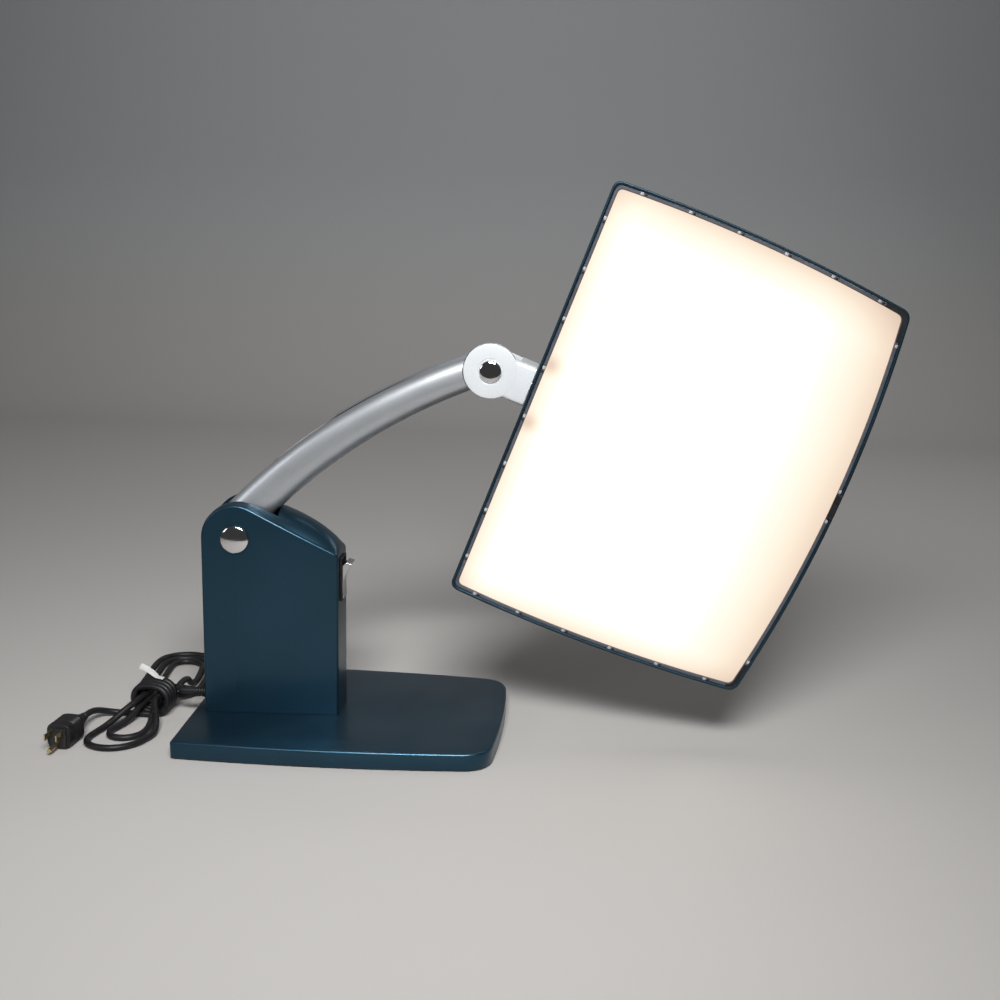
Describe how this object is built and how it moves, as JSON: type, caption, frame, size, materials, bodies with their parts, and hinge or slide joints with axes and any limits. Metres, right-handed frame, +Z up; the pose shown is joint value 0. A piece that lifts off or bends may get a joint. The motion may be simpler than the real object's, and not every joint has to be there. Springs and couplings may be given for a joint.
{
  "type": "light therapy lamp",
  "caption": "Desk light therapy lamp: a large bowed light panel that tilts and swivels on an arched arm, on a narrow column with a rocker switch and a wide flat base.",
  "frame": {"origin": "centre of the rubber pad's underside, on the desk", "axes": "+Z up, +X from the column towards the panel, and the lit face looks to -Y"},
  "size_m": [0.8533, 0.3222, 0.5841],
  "materials": {
    "blue_paint": "dark blue metallic paint on moulded plastic",
    "silver_paint": "silver satin paint on moulded plastic",
    "pale_silver": "die-cast, pale silver paint",
    "chrome": "polished",
    "chrome_plastic": "chromed plastic, polished",
    "dark_cast": "die-cast, dark coat",
    "steel": "zinc plated",
    "iron": "as cast",
    "black_rubber": "matte",
    "cord_black": "satin black sheath",
    "black_plastic": "satin moulded",
    "white_plastic": "satin moulded",
    "frame_grey": "satin moulded",
    "opal": "opal sheet, lit from behind",
    "lamp_glass": "phosphor-coated, lit",
    "reflector_white": "white coat",
    "brass": "plain"
  },
  "bodies": {
    "stand": {"base_cover": "blue_paint", "base_weight": "iron", "base_pan": "steel", "base_pad": "black_rubber", "base_screw_1": "steel", "base_screw_2": "steel", "base_screw_3": "steel", "base_screw_4": "steel", "column_front_shell": "blue_paint", "column_rear_shell": "blue_paint", "column_screw_1": "steel", "column_screw_2": "steel", "column_frame": "steel", "ballast_box": "steel", "switch_housing": "black_plastic", "strain_relief": "cord_black", "arm_axle": "steel", "pivot_washer_near": "black_plastic", "pivot_washer_far": "black_plastic", "column_cap_near": "chrome", "column_cap_far": "chrome", "cord_lead": "cord_black", "cord_hank": "cord_black", "cord_tail": "cord_black", "twist_tie": "white_plastic", "plug_body": "cord_black", "plug_blades": "brass"},
    "rocker": {"switch_rocker": "chrome_plastic"},
    "arm": {"arm_core": "dark_cast", "arm_shell_near": "silver_paint", "arm_shell_far": "silver_paint", "elbow_washer_near": "black_plastic", "elbow_washer_far": "black_plastic"},
    "neck": {"neck_fork": "pale_silver", "elbow_axle": "steel", "elbow_cap_near": "chrome", "elbow_cap_far": "chrome", "swivel_shaft": "steel", "swivel_nut": "steel"},
    "head": {"head_bracket": "steel", "head_screw_1": "steel", "head_screw_2": "steel", "head_back_shell": "blue_paint", "reflector": "reflector_white", "lamp_tube_1": "lamp_glass", "lamp_tube_2": "lamp_glass", "lamp_tube_3": "lamp_glass", "lamp_base_1": "white_plastic", "lamp_base_2": "white_plastic", "lamp_base_3": "white_plastic", "lamp_socket_1": "white_plastic", "lamp_socket_2": "white_plastic", "lamp_socket_3": "white_plastic", "lamp_clip_bar": "steel", "diffuser": "opal", "diffuser_frame": "frame_grey", "frame_latch": "black_plastic"}
  },
  "joints": [
    {"name": "arm_tilt", "type": "hinge", "parent": "stand", "child": "arm", "pos_m": [-0.1162, 0, 0.2116], "axis": [0, -1, 0], "range_deg": [0, 45]},
    {"name": "head_tilt", "type": "hinge", "parent": "arm", "child": "neck", "pos_m": [0.1471, 0, 0.3939], "axis": [0, 1, 0], "range_deg": [-60, 8]},
    {"name": "head_swivel", "type": "hinge", "parent": "neck", "child": "head", "pos_m": [0.1471, 0, 0.3939], "axis": [0.9358, 0, -0.3526], "range_deg": [0, 180]},
    {"name": "switch_rocker", "type": "hinge", "parent": "stand", "child": "rocker", "pos_m": [-0.0104, 0, 0.1666], "axis": [0, -1, 0], "range_deg": [0, 26]}
  ]
}
